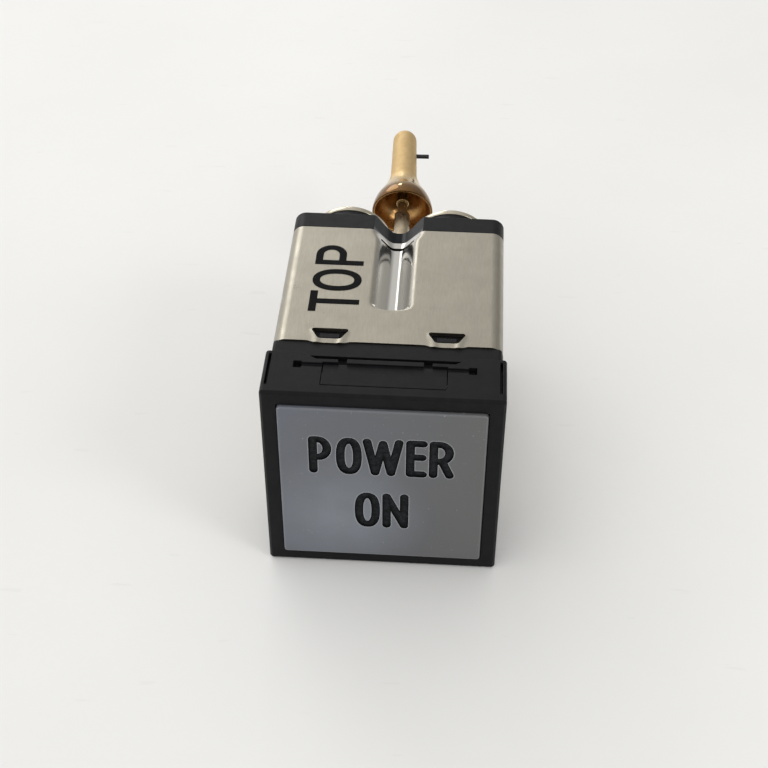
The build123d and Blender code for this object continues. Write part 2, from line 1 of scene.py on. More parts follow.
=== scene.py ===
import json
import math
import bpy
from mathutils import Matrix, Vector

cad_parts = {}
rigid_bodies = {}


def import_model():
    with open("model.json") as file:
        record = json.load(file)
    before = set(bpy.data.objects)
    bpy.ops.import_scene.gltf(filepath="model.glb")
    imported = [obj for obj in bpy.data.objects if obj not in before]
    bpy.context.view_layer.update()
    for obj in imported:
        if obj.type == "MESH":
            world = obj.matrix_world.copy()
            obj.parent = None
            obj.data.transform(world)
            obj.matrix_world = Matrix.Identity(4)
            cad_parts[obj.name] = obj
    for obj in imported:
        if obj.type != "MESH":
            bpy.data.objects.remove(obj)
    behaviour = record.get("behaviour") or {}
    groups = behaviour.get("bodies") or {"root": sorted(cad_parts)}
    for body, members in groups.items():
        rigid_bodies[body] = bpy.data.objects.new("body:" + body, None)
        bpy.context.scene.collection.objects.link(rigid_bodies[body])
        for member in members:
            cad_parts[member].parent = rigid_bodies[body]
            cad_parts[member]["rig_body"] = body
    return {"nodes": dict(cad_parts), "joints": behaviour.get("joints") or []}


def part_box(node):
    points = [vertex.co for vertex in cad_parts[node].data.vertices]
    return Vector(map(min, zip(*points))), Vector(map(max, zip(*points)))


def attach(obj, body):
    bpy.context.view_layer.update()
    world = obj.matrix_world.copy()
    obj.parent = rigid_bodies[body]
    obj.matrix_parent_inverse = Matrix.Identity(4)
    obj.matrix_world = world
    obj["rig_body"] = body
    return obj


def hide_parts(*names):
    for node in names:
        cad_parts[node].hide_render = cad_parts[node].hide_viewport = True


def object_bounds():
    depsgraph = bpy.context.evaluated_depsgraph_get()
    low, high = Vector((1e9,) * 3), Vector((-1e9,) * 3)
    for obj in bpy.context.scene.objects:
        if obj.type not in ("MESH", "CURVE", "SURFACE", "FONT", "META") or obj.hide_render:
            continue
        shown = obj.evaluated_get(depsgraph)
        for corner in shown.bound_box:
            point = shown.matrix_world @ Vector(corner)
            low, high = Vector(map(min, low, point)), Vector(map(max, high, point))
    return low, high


bl_info = {
    "name": "Lamp Capsule",
    "version": (1, 0, 0),
    "blender": (4, 5, 0),
    "location": "3D View > Sidebar > Capsule",
    "description": "Dresses the lamp capsule of a push-button switch and sets its stage",
    "category": "Add Mesh",
}

import bmesh
import bpy
from bpy.props import FloatProperty, FloatVectorProperty, PointerProperty
from bpy.types import Operator, Panel, PropertyGroup
from mathutils import Matrix, Vector
from mathutils.geometry import delaunay_2d_cdt

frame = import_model()
CAD_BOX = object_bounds()
MM = 0.001
JOINTS = {joint["name"]: joint for joint in frame["joints"]}
HOME = {node: obj["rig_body"] for node, obj in frame["nodes"].items()}


def edges_mm(node):
    """Lowest and highest corner of a CAD node, in millimetres."""
    low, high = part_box(node)
    return low / MM, high / MM


def length(name, description, metres, low=0.0):
    return FloatProperty(name=name, description=description, default=metres, min=low,
                         subtype="DISTANCE", unit="LENGTH", precision=5)


def colour(name, description, value):
    return FloatVectorProperty(name=name, description=description, default=value, size=3,
                               subtype="COLOR", min=0.0, max=1.0)


def angle(name, description, degrees):
    return FloatProperty(name=name, description=description, default=math.radians(degrees),
                         subtype="ANGLE", unit="ROTATION")


def amount(name, description, value):
    return FloatProperty(name=name, description=description, default=value, min=0.0,
                         max=1000.0)


# ---- settings ------------------------------------------------------------------------

class CapsuleFinishes(PropertyGroup):
    plastic: colour("Black plastic", "Moulded plastic of bezel, collar and rear end",
                    (0.0075, 0.0075, 0.0085))
    # Painted glow: a lighter patch in the lens's middle.
    lens_painted_glow: colour("Lens, lighter patch", "Lighter middle of the lens",
                      (0.235, 0.260, 0.300))
    notch: colour("Polished plastic", "Bright moulded walls of the rear notch",
                  (0.005, 0.006, 0.008))
    lens_cool: colour("Lens, left", "Lens colour on its cooler side", (0.132, 0.146, 0.180))
    lens_warm: colour("Lens, right", "Lens colour on its warmer side", (0.122, 0.122, 0.120))
    legend: colour("Legend fill", "Paint in the engraved legend", (0.0028, 0.0032, 0.0036))
    sheet: colour("Sheet metal", "Satin sheet of the case", (0.400, 0.374, 0.312))
    ink: colour("Marking ink", "Printed marking on the case", (0.0045, 0.0045, 0.005))
    gilt: colour("Gilt", "Gold-coloured plunger and ring", (0.66, 0.49, 0.255))
    # Painted shade: a darker gold for the shade and dark reflections inside the bell.
    mouth: colour("Bell's inside", "Darker gold inside the bell", (0.50, 0.29, 0.115))
    # Painted reflection: a browner gold for the dark reflections on the outside near the bell's
    # rim.
    bell_rim_painted_reflection: colour("Bell's rim", "Browner gold outside the bell's rim",
                          (0.18, 0.098, 0.038))
    # A browner, darker steel for the rod.
    rod: colour("Rod", "Worn, slightly brown turned rod", (0.50, 0.42, 0.30))
    steel: colour("Steel", "Turned rod, bracket and nut", (0.36, 0.325, 0.285))
    dark_steel: colour("Dark steel", "Cross pin", (0.045, 0.045, 0.05))
    flange: colour("Lamp shell", "Plated shell and flange of the lamps", (0.52, 0.475, 0.38))
    solder: colour("Solder", "Domed lamp contact", (0.62, 0.62, 0.60))
    insulator: colour("Lamp insulator", "Dark glass round the contact", (0.03, 0.026, 0.024))
    white: colour("White plastic", "Reflector and diffuser", (0.80, 0.80, 0.77))
    filter: colour("Filter sheet", "Sheet behind the lens", (0.70, 0.69, 0.64))


class CapsuleLegend(PropertyGroup):
    stroke: length("Stroke", "Width of the engraved strokes", 0.00067)
    depth: length("Depth", "Depth of the engraving", 0.00020)
    upper_base: length("Upper line", "Height of the upper line's lowest centre line", 0.010535)
    lower_base: length("Lower line", "Height of the lower line's lowest centre line", 0.004815)
    height: length("Letter height", "Centre-line height of the letters", 0.003165)
    mark_stroke: length("Marking stroke", "Stroke of the printed marking", 0.00060)
    mark_base: length("Marking base", "Base line of the marking, in X", -0.00280, -0.01)
    mark_height: length("Marking height", "Centre-line height of the marking", 0.00331)
    mark_start: length("Marking start", "First letter's place along the case", 0.00742)


class CapsuleCase(PropertyGroup):
    corner: length("Corner", "Radius of the case's long edges", 0.0010)
    sheet: length("Sheet", "Thickness of the sheet", 0.00035)
    trough_half: length("Trough half width", "Half the trough's width at the top", 0.00168)
    trough_mouth: length("Trough mouth", "Half its width where it runs out", 0.00212)
    trough_depth: length("Trough depth", "Depth of the pressed trough at its rear", 0.0014)
    trough_rise: length("Trough rise", "How much shallower its front is", 0.00012)
    trough_length: length("Trough length", "Length of the trough from the rear edge", 0.0106)
    trough_run: length("Trough run", "Length of the slope at the trough's front", 0.0008)
    lip: length("Slot lip", "Raised edge beside and before a slot", 0.00007)
    slit_inset: length("Slit inset", "Rear edge of the case to the slit", 0.0009)
    slit_width: length("Slit width", "Width of the slit across the trough", 0.00036)
    slit_span: length("Slit span", "Sideways length of the slit", 0.0027)
    slot_x: length("Slot place", "Middle of the case to the middle of a slot", 0.004445)
    slot_front: length("Slot strap", "Sheet left in front of a slot", 0.0003)
    slot_length: length("Slot length", "Length of a slot along the case", 0.0012)
    slot_wide: length("Slot rear width", "Width of a slot at its rear edge", 0.00285)
    slot_narrow: length("Slot front width", "Width of a slot at its front edge", 0.0018)
    lobe: length("Lobe", "Bulge of the strap over the collar", 0.00022)


class CapsulePlunger(PropertyGroup):
    mouth_at: length("Mouth", "Hinge axis to the rim of the bell", 0.00935)
    mouth_radius: length("Mouth radius", "Radius of the rim", 0.00277)
    neck_at: length("Neck", "Hinge axis to the end of the flare", 0.0140)
    tube_radius: length("Tube radius", "Radius behind the flare", 0.00122)
    tip_radius: length("Tip radius", "Radius of the rounded end", 0.00112)
    end_at: length("End", "Hinge axis to the far tip", 0.0199)
    wall: length("Wall", "Wall of the bell at its rim", 0.00022)
    throat_at: length("Throat", "Hinge axis to the end of the funnel", 0.0132)
    throat_radius: length("Throat radius", "Radius of the hole for the rod", 0.0005)
    shoulder_at: length("Shoulder", "Hinge axis to the rear end of the throat", 0.0140)
    bore_radius: length("Bore radius", "Radius of the bore for the rod's head", 0.00065)
    bore_end: length("Bore end", "Hinge axis to the end of the bore", 0.01626)
    ring_at: length("Ring", "Hinge axis to the middle of the ring", 0.01051)


class CapsuleStage(PropertyGroup):
    azimuth: angle("Azimuth", "Turn of the camera about the vertical", -3.465)
    elevation: angle("Elevation", "How far the camera looks down", 41.79)
    roll: angle("Roll", "Turn of the camera about its own line of sight", 0.188)
    camera_x: length("Camera X", "Camera right of the capsule's middle", 0.004911)
    camera_front: length("Camera distance", "Camera in front of the bezel's face", 0.078979)
    camera_height: length("Camera height", "Camera above the table", 0.089992)
    focal: FloatProperty(name="Focal length", description="Lens for a 36 mm sensor",
                         default=69.6, min=1.0, unit="CAMERA")
    floor: colour("Table", "Pale table top", (0.90, 0.90, 0.89))
    sky: amount("Bright side", "Strength of the surrounding light on its bright side", 1.14)
    sky_dark: amount("Dark side", "Strength of the surrounding light on its dark side", 0.42)
    key: amount("Key strength", "Power of the soft lamp behind on the left, in watts", 0.45)
    fill: amount("Fill strength", "Power of the weak lamp in front, in watts", 0.14)
    glint: amount("Glint strength", "Power of the small lamp behind, in watts", 0.08)


class CapsuleSettings(PropertyGroup):
    finishes: PointerProperty(type=CapsuleFinishes, name="Finishes", description="Colours")
    legend: PointerProperty(type=CapsuleLegend, name="Legend", description="Lettering")
    case: PointerProperty(type=CapsuleCase, name="Case", description="Sheet-metal case")
    plunger: PointerProperty(type=CapsulePlunger, name="Plunger", description="Bell plunger")
    stage: PointerProperty(type=CapsuleStage, name="Stage", description="Camera and light")


def settings():
    return bpy.context.scene.lamp_capsule


class InMm:
    """A group of settings whose lengths are read in millimetres."""

    def __init__(self, group):
        self.group = group

    def __getattr__(self, name):
        return getattr(self.group, name) / MM


# ---- materials -----------------------------------------------------------------------

def add_node(tree, kind, inputs, output, **values):
    """Add a node and give one of its outputs; sockets among the inputs are linked."""
    made = tree.nodes.new(kind)
    for key, value in values.items():
        setattr(made, key, value)
    for socket, value in inputs.items():
        if isinstance(value, bpy.types.NodeSocket):
            tree.links.new(value, made.inputs[socket])
        else:
            made.inputs[socket].default_value = value
    return made.outputs[output]


def scaled(base, factor):
    """A colour made lighter or darker."""
    return tuple(min(1.0, channel * factor) for channel in base)


class Recipe:
    """A node material in millimetre coordinates, built up in layers over a base colour."""

    def __init__(self, name, base, roughness, metallic=0.0, specular=0.5):
        self.material = bpy.data.materials.new(name)
        self.material.use_nodes = True
        self.tree = self.material.node_tree
        self.shader = self.tree.nodes["Principled BSDF"]
        self.base = self.tone = base
        self.relief = None
        self.set("Roughness", roughness)
        self.set("Metallic", metallic)
        self.set("Specular IOR Level", specular)
        self.place = self.stretch(self.node("ShaderNodeTexCoord", {}, "Object"), (1 / MM,) * 3)

    def set(self, name, value):
        self.shader.inputs[name].default_value = value

    def drive(self, name, source):
        self.tree.links.new(source, self.shader.inputs[name])

    def done(self):
        self.drive("Base Color", self.tone)
        return self.material

    def node(self, kind, inputs, output, **values):
        return add_node(self.tree, kind, inputs, output, **values)

    def stretch(self, source, scale):
        return self.node("ShaderNodeMapping", {"Vector": source, "Scale": scale}, "Vector")

    def noise(self, scale, detail, stretch=None):
        source = self.stretch(self.place, stretch) if stretch else self.place
        inputs = {"Vector": source, "Scale": scale, "Detail": detail, "Roughness": 0.55}
        return self.node("ShaderNodeTexNoise", inputs, "Fac")

    def limits(self, source, low, high, to_low=0.0, to_high=1.0):
        """The source's span from low to high, moved to a new span and cut off outside it."""
        inputs = {"Value": source, "From Min": low, "From Max": high, "To Min": to_low,
                  "To Max": to_high}
        return self.node("ShaderNodeMapRange", inputs, "Result")

    def blend(self, factor, first, second):
        """The first colour where the factor is 0, the second where it is 1."""
        first, second = (value if isinstance(value, bpy.types.NodeSocket) else (*value, 1.0)
                         for value in (first, second))
        return self.node("ShaderNodeMix", {0: factor, 6: first, 7: second}, 2, data_type="RGBA")

    def layer(self, factor, over):
        """Blend a colour, or a multiple of the base colour, over the colour so far."""
        over = scaled(self.base, over) if isinstance(over, float) else over
        self.tone = self.blend(factor, self.tone, over)

    def spots(self, scale, detail, low, high, over, most=1.0):
        """A layer in patches of noise: nothing below low, most above high."""
        self.layer(self.limits(self.noise(scale, detail), low, high, 0.0, most), over)

    def rough(self, scale, detail, least, most):
        """Roughness that wanders between two values."""
        made = self.limits(self.noise(scale, detail), 0.3, 0.7, least, most)
        self.drive("Roughness", made)
        return made

    def bump(self, source, depth, strength):
        """Relief of a depth in millimetres, on top of the relief made before."""
        inputs = {"Height": source, "Strength": strength, "Distance": depth * MM}
        if self.relief:
            inputs["Normal"] = self.relief
        self.relief = self.node("ShaderNodeBump", inputs, "Normal")
        self.drive("Normal", self.relief)

    def grain(self, scale, detail, depth, strength):
        self.bump(self.noise(scale, detail), depth, strength)

    def math(self, operation, *values):
        inputs = dict(enumerate(values))
        return self.node("ShaderNodeMath", inputs, "Value", operation=operation)

    def coordinate(self, axis):
        return self.node("ShaderNodeSeparateXYZ", {"Vector": self.place}, axis)

    def along(self, axis, low, high, most=1.0):
        """0 at low to most at high, in millimetres along an axis."""
        return self.limits(self.coordinate(axis), low, high, 0.0, most)

    def band(self, axis, middle, half, fade):
        """1 within half of the middle, falling to 0 over the fade, in millimetres."""
        off = self.math("SUBTRACT", self.coordinate(axis), middle)
        return self.limits(self.math("ABSOLUTE", off), half + fade, half)

    def reach(self, spot):
        """Distance from a spot, in millimetres."""
        inputs = {0: self.place, 1: spot}
        return self.node("ShaderNodeVectorMath", inputs, "Value", operation="DISTANCE")

    def edge(self, radius, gain, most):
        """Near most along sharp edges, 0 elsewhere."""
        soft = self.node("ShaderNodeBevel", {"Radius": radius * MM}, "Normal", samples=6)
        inputs = {0: soft, 1: self.node("ShaderNodeNewGeometry", {}, "Normal")}
        both = self.node("ShaderNodeVectorMath", inputs, "Value", operation="DOT_PRODUCT")
        return self.limits(both, 1.0, 1.0 - gain, 0.0, most)


def moulded_plastic(name, base):
    """Satin plastic with faint clouds, dust specks and paler edges, which are partly wear and
    partly a painted highlight.
    """
    made = Recipe(name, base, 0.42, specular=0.11)
    made.spots(0.9, 4.0, 0.35, 0.65, 1.35)
    made.spots(5.0, 2.0, 0.70, 0.78, 2.6)
    # Paler edges: partly wear, partly a painted highlight.
    made.layer(made.edge(0.07, 0.25, 0.55), 2.8)
    made.rough(1.4, 5.0, 0.35, 0.50)
    made.grain(14.0, 3.0, 0.007, 0.5)
    return made.done()


def polished_plastic(name, base, front=None):
    """Polished dark plastic, with a painted highlight that makes it paler along its front edge
    if that is given.
    """
    made = Recipe(name, base, 0.12, specular=0.08)
    made.spots(1.2, 3.0, 0.4, 0.6, 1.6)
    if front is not None:
        # Painted highlight: paler towards the front edge.
        made.layer(made.along("Y", front + 0.55, front + 0.05, 0.8), (0.15, 0.162, 0.185))
    made.rough(2.2, 4.0, 0.08, 0.20)
    made.grain(2.0, 2.0, 0.006, 0.25)
    return made.done()


def lens_plastic(name, cool, warm, glow, low, high):
    """Translucent lens: two tones across, a painted glow as a lighter patch, lint and a painted
    highlight along its rim.
    """
    made = Recipe(name, cool, 0.38)
    made.layer(made.along("X", low.x, high.x), warm)
    # Painted glow: a lighter patch round this centre.
    painted_glow_centre = (low + high) / 2 + Vector((-3.2, 0, -3.4))
    made.layer(made.limits(made.reach(painted_glow_centre), 7.0, 1.0, 0.0, 0.9), glow)
    made.spots(0.28, 2.0, 0.35, 0.65, scaled(warm, 1.12), 0.30)
    made.spots(9.0, 3.0, 0.3, 0.7, 0.8, 0.12)
    made.spots(6.0, 2.0, 0.735, 0.765, (0.62, 0.62, 0.60), 0.5)
    # Painted highlight: a pale line along the lens's edges.
    made.layer(made.edge(0.17, 0.14, 0.9), (0.52, 0.53, 0.56))
    made.rough(1.1, 4.0, 0.30, 0.45)
    made.grain(18.0, 2.0, 0.0015, 0.4)
    return made.done()


def legend_paint(name, base, face, depth):
    """Paint in the engraving, with painted shade: darker on the walls than on the floor."""
    made = Recipe(name, base, 0.16, specular=0.06)
    cloud = made.limits(made.noise(3.0, 3.0), 0.4, 0.6)
    floor = made.blend(cloud, scaled(base, 3.5), scaled(base, 8.0))
    # Painted shade: the walls keep the dark fill and the floor is made lighter.
    made.layer(made.along("Y", face + depth * 0.6, face + depth), floor)
    made.rough(5.0, 3.0, 0.10, 0.22)
    made.grain(7.0, 2.0, 0.006, 0.4)
    return made.done()


def satin_sheet(name, base, trough_half, top):
    """Satin sheet metal, streaked along the case and brighter in the pressed trough."""
    made = Recipe(name, base, 0.34, metallic=1.0)
    made.spots(0.35, 4.0, 0.35, 0.68, 0.90)
    streaks = made.noise(3.2, 5.0, (3.0, 0.35, 3.0))
    made.layer(made.limits(streaks, 0.3, 0.7, 0.0, 0.34), 0.66)
    made.spots(7.5, 2.0, 0.70, 0.76, 0.5, 0.35)
    pressed = made.math("MULTIPLY", made.band("X", 0.0, trough_half + 0.3, 0.2),
                        made.band("Z", top - 1.15, 0.85, 0.28))
    made.layer(pressed, (0.52, 0.51, 0.48))
    rough = made.rough(0.8, 5.0, 0.27, 0.40)
    made.drive("Roughness", made.blend(pressed, rough, (0.17, 0.17, 0.17)))
    made.bump(streaks, 0.004, 0.6)
    made.grain(11.0, 3.0, 0.0035, 0.7)
    return made.done()


def printed_ink(name, base, sheet):
    """Matt printed ink with small gaps that let the sheet through."""
    made = Recipe(name, base, 0.6, specular=0.04)
    gaps = made.noise(7.0, 4.0, (1.6, 0.8, 1.0))
    made.layer(made.limits(gaps, 0.66, 0.74, 0.0, 0.40), scaled(sheet, 0.5))
    made.drive("Roughness", made.limits(gaps, 0.66, 0.74, 0.55, 0.35))
    made.grain(9.0, 3.0, 0.003, 0.5)
    return made.done()


def turned_metal(name, base, roughness, tint=0.85, end=None):
    """Turned metal; end is (colour, from, to): a second tone for a painted reflection, which
    fades along Y, with smoother metal after it.
    """
    made = Recipe(name, base, roughness, metallic=1.0)
    made.spots(1.1, 4.0, 0.35, 0.65, tint)
    rough = made.rough(2.3, 4.0, max(0.04, roughness - 0.07), roughness + 0.09)
    if end:
        other, start, stop = end
        # The painted reflection's tone, fading out along Y.
        made.tone = made.blend(made.along("Y", start, stop), other, made.tone)
        smoother = made.along("Y", stop, stop + 1.6)
        made.drive("Roughness", made.blend(smoother, (0.10, 0.10, 0.10), rough))
    made.spots(6.0, 3.0, 0.66, 0.75, 0.55, 0.35)
    made.bump(made.noise(9.0, 3.0, (0.25, 2.2, 0.25)), 0.0025, 0.5)
    return made.done()


def plain_plastic(name, base, roughness=0.5):
    """Plain satin plastic for the parts inside."""
    made = Recipe(name, base, roughness)
    made.spots(0.7, 3.0, 0.35, 0.65, 0.93)
    made.rough(2.0, 3.0, roughness - 0.06, roughness + 0.08)
    made.grain(12.0, 2.0, 0.003, 0.3)
    return made.done()


def lamp_glass(name):
    """Clear blown glass with a faint haze."""
    made = Recipe(name, (0.98, 0.98, 0.97), 0.03)
    made.set("Transmission Weight", 1.0)
    made.set("IOR", 1.5)
    made.spots(0.8, 2.0, 0.4, 0.6, (0.90, 0.90, 0.88))
    made.grain(0.9, 1.0, 0.01, 0.3)
    return made.done()


def table_top(name, base):
    """Pale table top with faint clouds and hairlines."""
    made = Recipe(name, base, 0.45, specular=0.25)
    made.spots(0.03, 4.0, 0.35, 0.65, 0.965)
    made.spots(1.6, 4.0, 0.35, 0.68, 0.97, 0.35)
    hairs = made.noise(0.16, 2.0, (1.0, 6.0, 1.0))
    made.layer(made.limits(hairs, 0.7, 0.715, 0.0, 0.25), 0.85)
    made.grain(2.2, 4.0, 0.02, 0.25)
    return made.done()


MADE = {}


def material(name, build, *values):
    """The named finish, made the first time it is asked for."""
    if name not in MADE:
        MADE[name] = build(name + "_finish", *values)
    return MADE[name]


def plastic():
    return material("black_plastic", moulded_plastic, settings().finishes.plastic)


def gilt():
    return material("gilt", turned_metal, settings().finishes.gilt, 0.26)


def steel():
    return material("steel", turned_metal, settings().finishes.steel, 0.30)


# ---- mesh helpers, all in millimetres --------------------------------------------------

def new_object(name, data):
    """An object with this mesh, light or camera, linked to the scene."""
    made = bpy.data.objects.new(name, data)
    bpy.context.scene.collection.objects.link(made)
    return made


def finish_node(node, skin):
    """Give a CAD node that stays its material."""
    mesh = frame["nodes"][node].data
    mesh.materials.clear()
    mesh.materials.append(skin)


def place_piece(name, mesh, materials, node, replaced=None):
    """Link a mesh given in millimetres, and let it ride with its CAD node's body."""
    mesh.transform(Matrix.Scale(MM, 4))
    mesh.name = name
    piece = new_object(name, mesh)
    for entry in materials:
        mesh.materials.append(entry)
    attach(piece, HOME[node])
    if replaced:
        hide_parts(*replaced)
    return piece


def mesh_from(work, name="work"):
    """A mesh of what was built, which is then freed."""
    mesh = bpy.data.meshes.new(name)
    work.to_mesh(mesh)
    work.free()
    return mesh


def with_modifiers(mesh, *modifiers):
    """The mesh after each (type, settings) modifier in turn."""
    holder = new_object("holder", mesh)
    for kind, values in modifiers:
        modifier = holder.modifiers.new(kind.lower(), kind)
        for key, value in values.items():
            setattr(modifier, key, value)
    graph = bpy.context.evaluated_depsgraph_get()
    result = bpy.data.meshes.new_from_object(holder.evaluated_get(graph), depsgraph=graph)
    bpy.data.objects.remove(holder)
    return result


def smooth(mesh, degrees):
    """Smooth shading, but for edges that turn by more than the angle."""
    for face in mesh.polygons:
        face.use_smooth = True
    mesh.set_sharp_from_angle(angle=math.radians(degrees))
    return mesh


def bevelled(mesh, width, segments, degrees=30.0):
    """The mesh with a bevel on its edges that turn by more than the angle."""
    values = {"width": width, "segments": segments, "limit_method": "ANGLE",
              "angle_limit": math.radians(degrees), "use_clamp_overlap": True,
              "miter_outer": "MITER_ARC"}
    weights = {"mode": "FACE_AREA_WITH_ANGLE", "weight": 80, "keep_sharp": True}
    broken = smooth(with_modifiers(smooth(mesh, 180.0), ("BEVEL", values)), 60.0)
    return with_modifiers(broken, ("WEIGHTED_NORMAL", weights))


def cad_copy(node):
    """A welded copy of a CAD node's mesh in millimetres, its flat faces joined."""
    work = bmesh.new()
    work.from_mesh(frame["nodes"][node].data)
    bmesh.ops.scale(work, vec=(1 / MM,) * 3, verts=work.verts)
    bmesh.ops.remove_doubles(work, verts=work.verts, dist=0.0005)
    bmesh.ops.dissolve_limit(work, angle_limit=math.radians(0.5), verts=work.verts,
                             edges=work.edges)
    bmesh.ops.connect_verts_concave(work, faces=[f for f in work.faces if len(f.verts) > 4])
    return mesh_from(work)


def dressed(node, skin, width, segments):
    """The CAD node's own shape with its edges broken, in place of the node."""
    mesh = bevelled(cad_copy(node), width, segments)
    place_piece(node + "_dressed", mesh, [skin], node, [node])


def lathe(profile, steps=96):
    """Mesh turned about +Y from a closed outline of (radius, station) points."""
    work = bmesh.new()
    rings = []
    for radius, station in profile:
        if radius < 1e-6:
            rings.append([work.verts.new((0, station, 0))] * steps)
            continue
        turn = [2 * math.pi * k / steps for k in range(steps)]
        rings.append([work.verts.new((radius * math.cos(a), station, radius * math.sin(a)))
                      for a in turn])
    for first, second in zip(rings, rings[1:] + rings[:1]):
        for k in range(steps):
            corners = [first[k], first[(k + 1) % steps], second[(k + 1) % steps], second[k]]
            kept = list(dict.fromkeys(corners))
            if len(kept) > 2:
                work.faces.new(kept)
    bmesh.ops.recalc_face_normals(work, faces=work.faces)
    return mesh_from(work)


def bridge(work, first, second):
    """Faces between two closed rows of as many points."""
    for k in range(len(first)):
        n = (k + 1) % len(first)
        work.faces.new((first[k], first[n], second[n], second[k]))


def arc(centre, radius_x, radius_y, start, end, count):
    """Points on an ellipse's arc, angles in degrees."""
    turns = [math.radians(start + (end - start) * k / count) for k in range(count + 1)]
    return [(centre[0] + radius_x * math.cos(t), centre[1] + radius_y * math.sin(t))
            for t in turns]


def corner_arc(x, z, top, radius, start, turn, count):
    """Arc that rounds the corner at (x, z) of an upright square that is centred across."""
    inward = math.copysign(radius, x), radius if z == top else -radius
    return arc((x - inward[0], z - inward[1]), radius, radius, start, start + turn, count)


def curve_points(points):
    """Smooth line through points (Catmull-Rom)."""
    steps = 6
    ends = [points[0]] + list(points) + [points[-1]]
    line = []
    for a, b, c, d in zip(ends, ends[1:], ends[2:], ends[3:]):
        for k in range(steps):
            t = k / steps
            line.append(tuple(0.5 * (2 * q + (r - p) * t + (2 * p - 5 * q + 4 * r - s) * t * t
                                     + (3 * q - p - 3 * r + s) * t ** 3)
                              for p, q, r, s in zip(a, b, c, d)))
    line.append(points[-1])
    return line


# ---- lettering -----------------------------------------------------------------------

STEM = ((0, 0), (0, 1))
# Each letter's strokes: straight runs in a box of 1 by 1, a bowl or an oval.
STROKES = {
    "E": (STEM, ((0, 1), (1, 1)), ((0, 0.555), (0.9365079, 0.555)), ((0, 0), (1, 0))),
    "N": (STEM, ((0, 1), (1, 0)), ((1, 0), (1, 1))),
    "O": ("oval",),
    "P": (STEM, "bowl"),
    "R": (STEM, "bowl", ((0.55, 0.45), (1.0425532, 0))),
    "T": (((0, 1), (1, 1)), ((0.5, 0), (0.5, 1))),
    "W": (((0, 1), (0.25, 0)), ((0.25, 0), (0.5, 0.95)), ((0.5, 0.95), (0.75, 0)),
          ((0.75, 0), (1, 1))),
}
WAIST = {"P": 0.43, "R": 0.45}
# Each letter of a line with its left and right side, in millimetres.
UPPER_LINE = (("P", -5.165, -4.10), ("O", -3.11, -1.83), ("W", -1.10, 1.28),
              ("E", 2.125, 3.07), ("R", 3.86, 5.035))
LOWER_LINE = (("O", -1.76, -0.465), ("N", 0.375, 1.73))
MARKING = (("T", 0.05, 2.62), ("O", 2.98, 5.16), ("P", 6.32, 8.32))


def oval(left, right, low, high, power):
    """Closed centre line of an O; a higher power makes its sides straighter."""
    points = []
    for k in range(40):
        turn = math.pi * k / 20
        x, y = (math.copysign(abs(part) ** (2 / power), part)
                for part in (math.cos(turn), math.sin(turn)))
        points.append(((left + right) / 2 + (right - left) / 2 * x,
                       (low + high) / 2 + (high - low) / 2 * y))
    return points


def bowl(left, right, low, high):
    """Centre line of the bowl of a P or an R."""
    half = (high - low) / 2
    radius = min(half, (right - left) * 0.62)
    curve = arc((right - radius, low + half), radius, half, 90, -90, 12)
    return [(left, high)] + curve + [(left, low)]


def letters(line, low, high, start=0.0, power=2.5):
    """Centre lines of a line of letters, as (points, closed) in millimetres."""
    strokes = []
    for name, left, right in line:
        left, right = left + start, right + start
        for part in STROKES[name]:
            if part == "oval":
                path = oval(left, right, low, high, power)
            elif part == "bowl":
                path = bowl(left, right, low + (high - low) * WAIST[name], high)
            else:
                path = [(left * (1 - x) + right * x, low * (1 - y) + high * y)
                        for x, y in part]
            strokes.append((path, part == "oval"))
    return strokes


def legend_strokes():
    """Centre lines of the engraved legend in X and Z."""
    words = InMm(settings().legend)
    upper, lower, height = words.upper_base, words.lower_base, words.height
    return (letters(UPPER_LINE, upper, upper + height)
            + letters(LOWER_LINE, lower, lower + height))


def mark_strokes():
    """Centre lines of the printed marking, along the case and across it."""
    words = InMm(settings().legend)
    half, high = words.mark_stroke / 2, words.mark_height
    strokes = letters(MARKING, 0.0, high, words.mark_start, 2.2)
    for path, _ in strokes:
        if len(path) == 2 and path[0][0] == path[1][0]:
            path[:] = [(path[0][0], -half), (path[0][0], high + half)]
    return strokes


def distance_to(strokes, point, square_ends):
    """Distance from a point to the nearest centre line."""
    best = 1e9
    for path, closed in strokes:
        ends = path + [path[0]] if closed else path
        for k, (a, b) in enumerate(zip(ends, ends[1:])):
            run = (b[0] - a[0], b[1] - a[1])
            size = run[0] ** 2 + run[1] ** 2
            t = ((point[0] - a[0]) * run[0] + (point[1] - a[1]) * run[1]) / size
            first, last = k == 0 and not closed, k == len(path) - 2 and not closed
            if square_ends and ((t < 0 and first) or (t > 1 and last)):
                continue
            t = min(1.0, max(0.0, t))
            best = min(best, math.dist(point, (a[0] + t * run[0], a[1] + t * run[1])))
    return best


def resampled(path, closed):
    """The same line with more points."""
    step = 0.12
    ends = path + [path[0]] if closed else path
    points = []
    for a, b in zip(ends, ends[1:]):
        count = max(1, round(math.dist(a, b) / step))
        points += [(a[0] + (b[0] - a[0]) * k / count, a[1] + (b[1] - a[1]) * k / count)
                   for k in range(count)]
    return points if closed else points + [ends[-1]]


